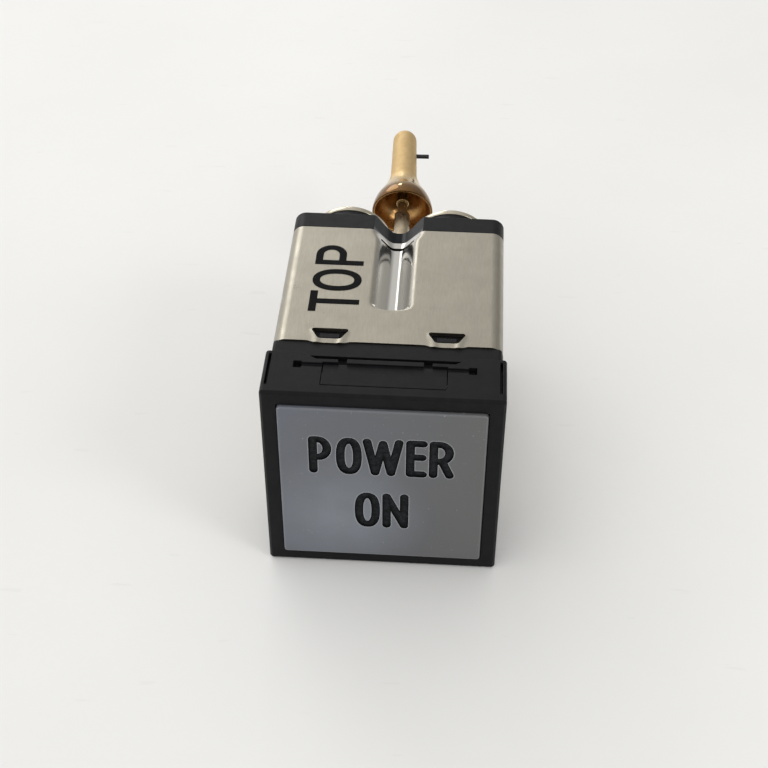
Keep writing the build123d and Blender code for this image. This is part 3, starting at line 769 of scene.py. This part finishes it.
def offset_loops(path, closed, offset, square_ends):
    """Closed loops at a distance to both sides of a centre line."""
    points = resampled(path, closed)
    count = len(points)
    sides = ([], [])
    for k, point in enumerate(points):
        before = points[k - 1] if k or closed else point
        after = points[(k + 1) % count] if k < count - 1 or closed else point
        run = Vector((after[0] - before[0], after[1] - before[1])).normalized()
        sides[0].append((point[0] - run.y * offset, point[1] + run.x * offset))
        sides[1].append((point[0] + run.y * offset, point[1] - run.x * offset))
    if closed:
        return list(sides)
    loop = list(sides[0])
    for end, other, rest in ((points[-1], sides[0][-1], sides[1][::-1]),
                             (points[0], sides[1][0], [])):
        start = math.degrees(math.atan2(other[1] - end[1], other[0] - end[0]))
        if not square_ends:
            loop += arc(end, offset, offset, start, start - 180, 10)[1:-1]
        loop += rest
    return [loop]


def stroke_sheet(strokes, half, levels, borders=(), square_ends=False):
    """Triangles of a flat sheet with lines along the strokes' edges at each level."""
    points, edges = [], []

    def add(loop, closed=True):
        first = len(points)
        points.extend(Vector(p) for p in loop)
        edges.extend((first + k, first + k + 1) for k in range(len(loop) - 1))
        if closed:
            edges.append((len(points) - 1, first))

    for border in borders:
        add(border)
    for path, closed in strokes:
        for level in levels:
            for loop in offset_loops(path, closed, half * level, square_ends):
                add(loop)
        if borders:
            add(resampled(path, closed), closed)
    result = delaunay_2d_cdt(points, edges, [], 0, 1e-4)
    return result[0], result[2]


def engraved_lens(low, high, window_low, window_high):
    """Lens with a bevelled front, engraved strokes and its rear flange."""
    words = InMm(settings().legend)
    half, depth = words.stroke / 2, words.depth
    strokes = legend_strokes()
    radius, bevel = 0.18, 0.12

    def ring(inset, corner):
        left, right = window_low.x + inset, window_high.x - inset
        bottom, top = window_low.z + inset, window_high.z - inset
        return [point for x, z, start in ((right, top, 0), (left, top, 90), (left, bottom, 180),
                                          (right, bottom, 270))
                for point in corner_arc(x, z, top, corner, start, 90, 5)]

    border = ring(bevel, radius)
    # Where lines run along each stroke, in shares of its half width.
    levels = (1.25, 1.0, 0.86, 0.6, 0.3)
    flat, triangles = stroke_sheet(strokes, half, levels, (border, ring(bevel + 0.08, radius)))
    work = bmesh.new()
    verts = []
    for point in flat:
        near = distance_to(strokes, point, False) / half
        sink = depth * math.sqrt(max(0.0, 1 - near * near)) if near < 0.999 else 0.0
        verts.append(work.verts.new((point.x, low.y + sink, point.y)))
    for corners in triangles:
        face = work.faces.new([verts[i] for i in corners])
        centre = face.calc_center_median()
        if distance_to(strokes, (centre.x, centre.z), False) < half:
            face.material_index = 1
    last = [min(work.verts, key=lambda v: (v.co.x - x) ** 2 + (v.co.z - z) ** 2)
            for x, z in border]
    # Each row of the bevel: its inset and depth in shares of the bevel, its wider corner.
    rows = [(inset, low.y + bevel * sunk, wider) for inset, sunk, wider in
            ((0.62, 0.08, 0.02), (0.29, 0.29, 0.05), (0.08, 0.62, 0.09), (0.0, 1.0, 0.12))]
    for inset, y, wider in rows + [(0.0, window_low.y, 0.12)]:
        now = [work.verts.new((x, y, z)) for x, z in ring(bevel * inset, radius + wider)]
        bridge(work, last, now)
        last = now
    flange = [work.verts.new((x, y, z)) for y in (window_low.y, high.y)
              for x, z in ((high.x, high.z), (low.x, high.z), (low.x, low.z), (high.x, low.z))]
    per = len(last) // 4
    for k in range(4):
        n = (k + 1) % 4
        corner = last[k * per:(k + 1) * per] + [last[(k + 1) * per % len(last)]]
        work.faces.new([flange[k]] + corner[:per])
        work.faces.new((flange[k], corner[per - 1], corner[per], flange[n]))
        work.faces.new((flange[k], flange[n], flange[4 + n], flange[4 + k]))
    work.faces.new(flange[4:])
    bmesh.ops.recalc_face_normals(work, faces=work.faces)
    return smooth(mesh_from(work), 28.0)


# ---- metal case ----------------------------------------------------------------------

def ease(value):
    """Smooth step from 0 to 1."""
    value = min(1.0, max(0.0, value))
    return value * value * (3 - 2 * value)


def graded(low, high, step, dense):
    """Stations from low to high, with finer steps inside each (start, end, step) of dense."""
    marks, at = [low], low
    while at < high - 1e-6:
        fine = [d[2] for d in dense if d[0] - 1e-6 <= at < d[1]]
        stops = [d[0] for d in dense if d[0] > at + 1e-6] + [high]
        at = min(at + (fine[0] if fine else step), min(stops))
        marks.append(at)
    return marks


def trough_dip(x, y, rear):
    """Depth of the pressed trough at a place on the case's top face."""
    shape = InMm(settings().case)
    mouth_length, front_bow = 1.5, 0.5
    opening = ease(1 - (rear - y) / mouth_length)
    half = shape.trough_half + opening * (shape.trough_mouth - shape.trough_half)
    side = min(0.95, abs(x) / half)
    start = rear - shape.trough_length + front_bow * (1 - math.sqrt(1 - side ** 2))
    rise = shape.trough_rise * (1 - ease((y - start) / shape.trough_length))
    across = 1 - ease((abs(x) / half - 0.12) / 0.94)
    return (shape.trough_depth - rise) * across * ease((y - start) / shape.trough_run)


def case_shell(low, high, front):
    """Outer skin of the case as a grid: rounded square with the pressed trough."""
    shape = InMm(settings().case)
    corner = shape.corner
    trough_y = high.y - shape.trough_length
    slot_rear = front + shape.slot_front + shape.slot_length

    def from_slot(x):
        return abs(abs(x) - shape.slot_x)

    def forward(x, y):
        """How far the strap before a slot bulges forward."""
        reach, steep = 0.35, 2.2
        near = from_slot(x) / (shape.slot_wide / 2 + reach)
        return shape.lobe * ease(steep * (1 - near)) * max(0.0, 1 - (y - front) / reach)

    def raised(x, y):
        """Height of the lip beside a slot."""
        lean, half, fade = 0.45, 0.4, 0.5
        slant = lean * (y - front) / (slot_rear - front)
        off = abs(from_slot(x) - shape.slot_narrow / 2 - slant)
        return shape.lip * ease(1 - off / half) * ease((slot_rear - y) / fade)

    # Finer steps over the trough and the slots, and along the slots, the trough's front
    # and the rear edge.
    across = [(-2.4, 2.4, 0.08), (2.9, 6.1, 0.12), (-6.1, -2.9, 0.12)]
    along = [(front, slot_rear + 0.2, 0.14), (trough_y - 0.2, trough_y + 1.4, 0.08),
             (high.y - 1.7, high.y, 0.17)]
    flat = graded(low.x + corner, high.x - corner, 0.45, across)
    stations = graded(front, high.y, 0.7, along)
    work = bmesh.new()
    loops = []
    for y in stations:
        loop = [(x, y - forward(x, y), high.z + raised(x, y) - trough_dip(x, y, high.y))
                for x in flat]
        bends = [corner_arc(x, z, high.z, corner, start, -90, 8)
                 for x, z, start in ((high.x, high.z, 90), (high.x, low.z, 0),
                                     (low.x, low.z, -90), (low.x, high.z, -180))]
        loop += [(x, y, z) for x, z in bends[0][1:] + bends[1]]
        loop += [(x, y - forward(x, y), low.z) for x in reversed(flat[1:-1])]
        loop += [(x, y, z) for x, z in bends[2] + bends[3][:-1]]
        loops.append([work.verts.new(p) for p in loop])
    for first, second in zip(loops, loops[1:]):
        bridge(work, first, second)
    bmesh.ops.recalc_face_normals(work, faces=work.faces)
    return mesh_from(work)


def prism_mesh(work, outline, z0, z1):
    """Add an upright prism over an outline in X and Y."""
    lower, upper = ([work.verts.new((x, y, z)) for x, y in outline] for z in (z0, z1))
    work.faces.new(lower[::-1])
    work.faces.new(upper)
    bridge(work, lower, upper)


def rounded_outline(points, radius):
    """The outline with each corner cut by a short arc."""
    loop = []
    count = len(points)
    for k, point in enumerate(points):
        here = Vector(point)
        back = (Vector(points[k - 1]) - here).normalized() * radius
        ahead = (Vector(points[(k + 1) % count]) - here).normalized() * radius
        for t in (0.0, 0.33, 0.67, 1.0):
            spot = (here + back) * (1 - t) ** 2 + here * 2 * t * (1 - t)
            loop.append(tuple(spot + (here + ahead) * t * t))
    return loop


def case_cutters(low, high, front):
    """Cutters for the four snap slots and the slit across the trough."""
    shape = InMm(settings().case)
    work = bmesh.new()
    y0 = front + shape.slot_front
    y1 = y0 + shape.slot_length
    wide, narrow = shape.slot_wide / 2, shape.slot_narrow / 2
    slot_depth, slit_depth, clear = 0.9, 1.95, 0.5
    step_x, step_y, radius = 0.1, 0.25, 0.12
    for middle in (-shape.slot_x, shape.slot_x):
        left, right = middle - wide, middle + wide
        outline = rounded_outline([(middle - narrow, y0), (middle + narrow, y0),
                                   (right, y1 - step_y), (right - step_x, y1),
                                   (left + step_x, y1), (left, y1 - step_y)], radius)
        prism_mesh(work, outline, high.z - slot_depth, high.z + clear)
        prism_mesh(work, outline, low.z - clear, low.z + slot_depth)
    y = high.y - shape.slit_inset
    half, width = shape.slit_span / 2, shape.slit_width / 2
    slit = [(-half, y - width), (half, y - width), (half, y + width), (-half, y + width)]
    prism_mesh(work, slit, high.z - slit_depth, high.z + clear)
    bmesh.ops.recalc_face_normals(work, faces=work.faces)
    return new_object("cutters", mesh_from(work))


# ---- link and plunger ------------------------------------------------------------------

def link_matrix():
    """From stations along +Y to the link's resting place, in millimetres."""
    low, high = edges_mm("rod_ring")
    slide = Vector(JOINTS["plunger_travel"]["axis"]).normalized()
    side = Vector((slide.y, -slide.x, 0)).normalized()
    up = side.cross(slide)
    origin = (low + high) / 2 - slide * InMm(settings().plunger).ring_at
    turn = Matrix((side, slide, up)).transposed().to_4x4()
    return Matrix.Translation(origin) @ turn


def bell_outline():
    """Closed outline of the plunger as (radius, station) points."""
    size = InMm(settings().plunger)
    mouth, radius, wall, tube = size.mouth_at, size.mouth_radius, size.wall, size.tube_radius
    tip, end, wide = size.tip_radius, size.end_at, size.bore_radius
    throat, hole = size.throat_at, size.throat_radius
    outside = curve_points([(radius, mouth + 0.05), (radius - 0.03, mouth + 0.45),
                            (radius - 0.19, mouth + 1.1), (radius - 0.41, mouth + 1.65),
                            (radius - 0.72, mouth + 2.25), (tube + 0.51, mouth + 2.95),
                            (tube + 0.26, mouth + 3.6), (tube + 0.1, size.neck_at - 0.55),
                            (tube, size.neck_at)])
    round_tip = arc((0.0, end - tip), tip, tip, 0, 90, 12)
    inside = curve_points([(hole, throat), (hole + 0.35, throat - 0.5),
                           (radius - 1.2, mouth + 2.0), (radius - 0.55, mouth + 1.15),
                           (radius - wall, mouth + 0.05)])
    rim = arc((radius - wall / 2, mouth + 0.05), wall / 2, 0.05, 180, 360, 4)[1:-1]
    bore = [(0.0, size.bore_end), (wide, size.bore_end), (wide, size.shoulder_at),
            (hole, size.shoulder_at)]
    return outside + round_tip[:-1] + [(0.0, end)] + bore + inside + rim


# ---- operators -----------------------------------------------------------------------

class CAPSULE_OT_bezel(Operator):
    """Black bezel with broken edges"""
    bl_idname = "capsule.bezel"
    bl_label = "Bezel"

    def execute(self, context):
        dressed("bezel", plastic(), 0.07, 3)
        return {"FINISHED"}


class CAPSULE_OT_housing(Operator):
    """Black collar, catches and snap teeth"""
    bl_idname = "capsule.housing"
    bl_label = "Front housing"

    def execute(self, context):
        dressed("front_housing", plastic(), 0.04, 2)
        return {"FINISHED"}


class CAPSULE_OT_lens(Operator):
    """Grey lens with its engraved legend"""
    bl_idname = "capsule.lens"
    bl_label = "Legend lens"

    def execute(self, context):
        colours = settings().finishes
        low, high = edges_mm("legend_lens")
        bezel_low, bezel_high = edges_mm("bezel")
        border, flange = 1.25, 0.5
        rebate = edges_mm("colour_filter")[0].y - flange
        window_low = Vector((bezel_low.x + border, rebate, bezel_low.z + border))
        window_high = Vector((bezel_high.x - border, rebate, bezel_high.z - border))
        skins = [material("lens_plastic", lens_plastic, colours.lens_cool, colours.lens_warm,
                          colours.lens_painted_glow, low, high),
                 material("legend_paint", legend_paint, colours.legend, low.y,
                          settings().legend.depth / MM)]
        mesh = engraved_lens(low, high, window_low, window_high)
        place_piece("legend_lens_engraved", mesh, skins, "legend_lens", ["legend_lens"])
        return {"FINISHED"}


class CAPSULE_OT_case(Operator):
    """Sheet-metal case with its trough, slots and printed marking"""
    bl_idname = "capsule.case"
    bl_label = "Metal case"

    def execute(self, context):
        colours, shape = settings().finishes, InMm(settings().case)
        low, high = edges_mm("metal_case")
        front = low.y + shape.lobe
        skin = material("satin_sheet", satin_sheet, colours.sheet, shape.trough_half, high.z)
        cutter = case_cutters(low, high, front)
        wall = {"thickness": shape.sheet, "offset": -1.0, "use_even_offset": True}
        cut = {"operation": "DIFFERENCE", "solver": "EXACT", "object": cutter}
        mesh = with_modifiers(case_shell(low, high, front), ("SOLIDIFY", wall),
                              ("BOOLEAN", cut))
        bpy.data.objects.remove(cutter)
        if len(mesh.polygons) < 500:
            raise RuntimeError("the case lost its faces when it was cut")
        mesh = bevelled(mesh, 0.05, 2, 40.0)
        place_piece("case_sheet", mesh, [skin], "metal_case", ["metal_case"])
        self.marking(high)
        return {"FINISHED"}

    def marking(self, high):
        """Ink sheet of the marking, just above the case."""
        words, colours = InMm(settings().legend), settings().finishes
        half, base, lift = words.mark_stroke / 2, words.mark_base, 0.012
        strokes = mark_strokes()
        flat, triangles = stroke_sheet(strokes, half, (1.0, 0.4), square_ends=True)
        work = bmesh.new()
        verts = [work.verts.new((base - p.y, p.x, high.z + lift)) for p in flat]
        for corners in triangles:
            centre = sum((flat[i] for i in corners), Vector((0, 0))) / len(corners)
            if distance_to(strokes, centre, True) < half:
                work.faces.new([verts[i] for i in corners])
        loose = [v for v in work.verts if not v.link_faces]
        bmesh.ops.delete(work, geom=loose, context="VERTS")
        for face in work.faces:
            face.normal_update()
            if face.normal.z < 0:
                face.normal_flip()
        skin = material("marking_ink", printed_ink, colours.ink, colours.sheet)
        place_piece("case_marking", mesh_from(work), [skin], "metal_case")


def rounded_notch(mesh, high):
    """Fill the sharp corners between the notch's walls and its floor."""
    # Half widths of the notch and its floor, depths at the floor's edge and middle, and
    # the height over which a wall runs into the floor.
    top, floor, low, deep, blend = 2.05, 0.75, 1.7, 1.9, 0.8
    first_cut, between, last_cut, merged = 0.26, 0.08, 1.4, 0.035

    work = bmesh.new()
    work.from_mesh(mesh)
    for k in range(13):
        for side in (-1, 1):
            x = side * (first_cut + between * k)
            bmesh.ops.bisect_plane(work, geom=work.verts[:] + work.edges[:] + work.faces[:],
                                   plane_co=(x, 0, 0), plane_no=(1, 0, 0), dist=0.0005)
    for vert in work.verts:
        x, depth = abs(vert.co.x), high.z - vert.co.z
        wall = low * (top - x) / (top - floor)
        base = deep - (deep - low) * (x / floor) ** 2
        if x > last_cut or abs(depth - min(wall, base)) > 0.03:
            continue
        share = min(1.0, max(0.0, 0.5 + (base - wall) / blend))
        vert.co.z = high.z - (base + (wall - base) * share - blend / 2 * share * (1 - share))
    near = [vert for vert in work.verts if abs(vert.co.x) < last_cut + 0.1]
    bmesh.ops.remove_doubles(work, verts=near, dist=merged)
    bmesh.ops.dissolve_degenerate(work, edges=work.edges, dist=0.002)
    return mesh_from(work)


class CAPSULE_OT_rear(Operator):
    """Black rear end with its polished notch"""
    bl_idname = "capsule.rear"
    bl_label = "Rear plate"

    def execute(self, context):
        low, high = edges_mm("rear_plate")
        # The notch's finish has a painted highlight along its front edge.
        polished = material("polished_notch", polished_plastic, settings().finishes.notch,
                            low.y)
        mesh = bevelled(rounded_notch(cad_copy("rear_plate"), high), 0.06, 3)
        piece = place_piece("rear_plate_dressed", mesh, [plastic(), polished], "rear_plate",
                            ["rear_plate"])
        half_width, depth, edge = 2.08, 2.25, 0.06
        for face in piece.data.polygons:
            middle = face.center / MM
            inside = abs(middle.x) < half_width and middle.z > high.z - depth
            if inside and abs(face.normal.y) < 0.5 and abs(middle.z - high.z) > edge:
                face.material_index = 1
        return {"FINISHED"}


class CAPSULE_OT_lamps(Operator):
    """Four flanged lamps with their contacts"""
    bl_idname = "capsule.lamps"
    bl_label = "Lamps"

    def execute(self, context):
        colours = settings().finishes
        shell_skin = material("lamp_shell", turned_metal, colours.flange, 0.2)
        solder_skin = material("solder", turned_metal, colours.solder, 0.3)
        ring_skin = material("lamp_insulator", polished_plastic, colours.insulator)
        glass_skin = material("lamp_glass", lamp_glass)
        for number in range(1, 5):
            shell, contact = f"lamp_{number}_shell", f"lamp_{number}_contact"
            low, high = edges_mm(shell)
            middle = Vector(((low.x + high.x) / 2, 0, (low.z + high.z) / 2))
            mesh = smooth(lathe(self.shell_profile(low, high)), 30.0)
            mesh.transform(Matrix.Translation(middle))
            place_piece(shell + "_turned", mesh, [shell_skin], shell, [shell])
            self.contact(contact, middle, high.y, [solder_skin, ring_skin])
            finish_node(f"lamp_{number}_glass", glass_skin)
        return {"FINISHED"}

    def shell_profile(self, low, high):
        """Shell with a rolled flange: (radius, station) points."""
        flange, shell, inner = (high.x - low.x) / 2, 2.85, 2.55
        thick, small, large, cut = 0.6, 0.12, 0.2, 0.05
        seat, rear = high.y - thick, high.y
        front_edge = arc((flange - small, seat + small), small, small, -90, 0, 5)
        rear_edge = arc((flange - large, rear - large), large, large, 0, 90, 6)
        groove = [(flange - 0.55, rear), (flange - 0.62, rear - 0.04), (flange - 0.69, rear)]
        mouth = [(inner + 0.06, rear), (inner, rear - 0.06)]
        neck = [(inner, low.y + cut), (inner + cut, low.y), (shell - cut, low.y),
                (shell, low.y + cut), (shell, seat - cut), (shell + cut, seat)]
        return front_edge + rear_edge + groove + mouth + neck

    def contact(self, node, middle, face, skins):
        """Dark insulator and solder dome in place of one contact."""
        low, high = edges_mm(node)
        outer, inner, sunk, tall = 2.53, 1.2, face - 0.05, high.y - face
        ring = lathe([(0, low.y), (outer, low.y), (outer, face - 0.02), (outer - 0.08, face),
                      (inner + 0.05, face), (inner, sunk), (0, sunk)])
        dome = curve_points([(1.12, sunk), (1.08, face + 0.35 * tall),
                             (0.82, face + 0.8 * tall), (0.3, face + 0.985 * tall),
                             (0.0, high.y)])
        solder = lathe(dome + [(0.0, sunk)])
        for name, mesh, skin, replaced in (("_ring", ring, skins[1], [node]),
                                           ("_solder", solder, skins[0], None)):
            mesh.transform(Matrix.Translation(middle))
            place_piece(node + name, smooth(mesh, 40.0), [skin], node, replaced)


class CAPSULE_OT_link(Operator):
    """Bracket, hinge pin, rod and ring"""
    bl_idname = "capsule.link"
    bl_label = "Link"

    def execute(self, context):
        dressed("link_bracket", steel(), 0.05, 2)
        dressed("hinge_pin", steel(), 0.06, 3)
        dressed("bracket_nut", steel(), 0.05, 2)
        rod = material("worn_rod", turned_metal, settings().finishes.rod, 0.30)
        dressed("link_rod", rod, 0.03, 2)
        dressed("rod_ring", gilt(), 0.05, 3)
        return {"FINISHED"}


class CAPSULE_OT_plunger(Operator):
    """Gilt plunger with its bell mouth and cross pin"""
    bl_idname = "capsule.plunger"
    bl_label = "Plunger"

    def execute(self, context):
        colours, size = settings().finishes, InMm(settings().plunger)
        mesh = smooth(lathe(bell_outline(), 128), 40.0)
        # Inward faces of the bell take the darker gold of painted shade.
        for face in mesh.polygons:
            across = math.hypot(face.center.x, face.center.z)
            inward = face.normal.x * face.center.x + face.normal.z * face.center.z < 0
            if inward and across > size.throat_radius * 0.9:
                face.material_index = 1
        inside = material("gilt_inside", turned_metal, colours.mouth, 0.30)
        rim = edges_mm("plunger")[0].y
        # Painted reflection: a browner gold near the rim that fades out along the bell.
        end = (colours.bell_rim_painted_reflection, rim + 1.0, rim + 2.8)
        outside = material("gilt_outside", turned_metal, colours.gilt, 0.60, 0.92, end)
        mesh.transform(link_matrix())
        place_piece("plunger_turned", mesh, [outside, inside], "plunger", ["plunger"])
        skin = material("dark_steel", turned_metal, colours.dark_steel, 0.35)
        dressed("cross_pin", skin, 0.05, 3)
        return {"FINISHED"}


class CAPSULE_OT_inner_parts(Operator):
    """Finishes of the parts inside the capsule"""
    bl_idname = "capsule.inner_parts"
    bl_label = "Inner parts"

    def execute(self, context):
        colours = settings().finishes
        white = material("white_plastic", plain_plastic, colours.white)
        sheet = material("filter_sheet", plain_plastic, colours.filter, 0.35)
        finish_node("colour_filter", sheet)
        finish_node("diffuser_plate", white)
        finish_node("reflector", white)
        finish_node("lamp_block", plastic())
        finish_node("lamp_grip_plate", gilt())
        return {"FINISHED"}


class CAPSULE_OT_stage(Operator):
    """Table, camera and soft light"""
    bl_idname = "capsule.stage"
    bl_label = "Stage"

    def execute(self, context):
        self.table()
        self.camera(context)
        self.sky(context)
        stage = settings().stage
        # Each lamp's power, diameter and place.
        self.lamp("key_lamp", stage.key, 0.30, Vector((-0.26, 0.56, 0.27)))
        self.lamp("fill_lamp", stage.fill, 0.10, Vector((0.20, -0.12, 0.20)))
        self.lamp("glint_lamp", stage.glint, 0.05, Vector((-0.0555, 0.450, 0.167)))
        return {"FINISHED"}

    def table(self):
        work = bmesh.new()
        bmesh.ops.create_grid(work, x_segments=8, y_segments=8, size=12.0)
        mesh = mesh_from(work, "table_top")
        mesh.materials.append(material("table_top", table_top, settings().stage.floor))
        table = new_object("table_top", mesh)
        table.location = (0, 0, CAD_BOX[0][2])

    def camera(self, context):
        """Camera at its place before the bezel, turned by the stage's three angles."""
        stage = settings().stage
        sweep, tilt, roll = stage.azimuth, stage.elevation, stage.roll
        ahead = Vector((math.sin(sweep) * math.cos(tilt), math.cos(sweep) * math.cos(tilt),
                        -math.sin(tilt)))
        side = Vector((math.cos(sweep), -math.sin(sweep), 0))
        up = side.cross(ahead)
        right = side * math.cos(roll) + up * math.sin(roll)
        top = up * math.cos(roll) - side * math.sin(roll)
        data = bpy.data.cameras.new("camera")
        data.sensor_width = 36.0
        data.lens = stage.focal
        data.clip_start = 0.001
        data.dof.use_dof = False
        camera = new_object("camera", data)
        turn = Matrix((right, top, -ahead)).transposed().to_4x4()
        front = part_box("bezel")[0].y
        spot = Vector((stage.camera_x, front - stage.camera_front, stage.camera_height))
        camera.matrix_world = Matrix.Translation(spot) @ turn
        context.scene.camera = camera

    def sky(self, context):
        """Soft light from all round, brighter on one side."""
        stage = settings().stage
        world = bpy.data.worlds.new("studio")
        context.scene.world = world
        world.use_nodes = True
        tree = world.node_tree
        inputs = {0: add_node(tree, "ShaderNodeTexCoord", {}, "Generated"),
                  1: Vector((-0.86, 0.10, 0.40)).normalized()}
        side = add_node(tree, "ShaderNodeVectorMath", inputs, "Value", operation="DOT_PRODUCT")
        inputs = {"Value": side, "From Min": -0.5, "From Max": 0.85,
                  "To Min": stage.sky_dark, "To Max": stage.sky}
        fade = add_node(tree, "ShaderNodeMapRange", inputs, "Result",
                        interpolation_type="SMOOTHSTEP")
        light = tree.nodes["Background"]
        light.inputs["Color"].default_value = (1.0, 0.99, 0.97, 1.0)
        tree.links.new(fade, light.inputs["Strength"])
        context.scene.view_settings.view_transform = "Standard"

    def lamp(self, name, power, size, spot):
        data = bpy.data.lights.new(name, "AREA")
        data.shape = "DISK"
        data.size = size
        data.energy = power
        lamp = new_object(name, data)
        lamp.visible_camera = False
        turn = (Vector((0, 0.01, 0.01)) - spot).to_track_quat("-Z", "Y").to_matrix()
        lamp.matrix_world = Matrix.Translation(spot) @ turn.to_4x4()


PIECES = (CAPSULE_OT_bezel, CAPSULE_OT_housing, CAPSULE_OT_lens, CAPSULE_OT_case,
          CAPSULE_OT_rear, CAPSULE_OT_lamps, CAPSULE_OT_link, CAPSULE_OT_plunger,
          CAPSULE_OT_inner_parts, CAPSULE_OT_stage)


class CAPSULE_PT_panel(Panel):
    bl_idname = "CAPSULE_PT_panel"
    bl_label = "Lamp Capsule"
    bl_space_type = "VIEW_3D"
    bl_region_type = "UI"
    bl_category = "Capsule"

    def draw(self, context):
        for operator in PIECES:
            self.layout.operator(operator.bl_idname)


CLASSES = (CapsuleFinishes, CapsuleLegend, CapsuleCase, CapsulePlunger, CapsuleStage,
           CapsuleSettings) + PIECES + (CAPSULE_PT_panel,)


def register():
    for entry in CLASSES:
        bpy.utils.register_class(entry)
    bpy.types.Scene.lamp_capsule = PointerProperty(type=CapsuleSettings, name="Lamp capsule",
                                                   description="Settings of the lamp capsule")


def unregister():
    del bpy.types.Scene.lamp_capsule
    for entry in reversed(CLASSES):
        bpy.utils.unregister_class(entry)


def main():
    register()
    for operator in PIECES:
        group, name = operator.bl_idname.split(".")
        getattr(getattr(bpy.ops, group), name)()


if __name__ == "__main__":
    main()
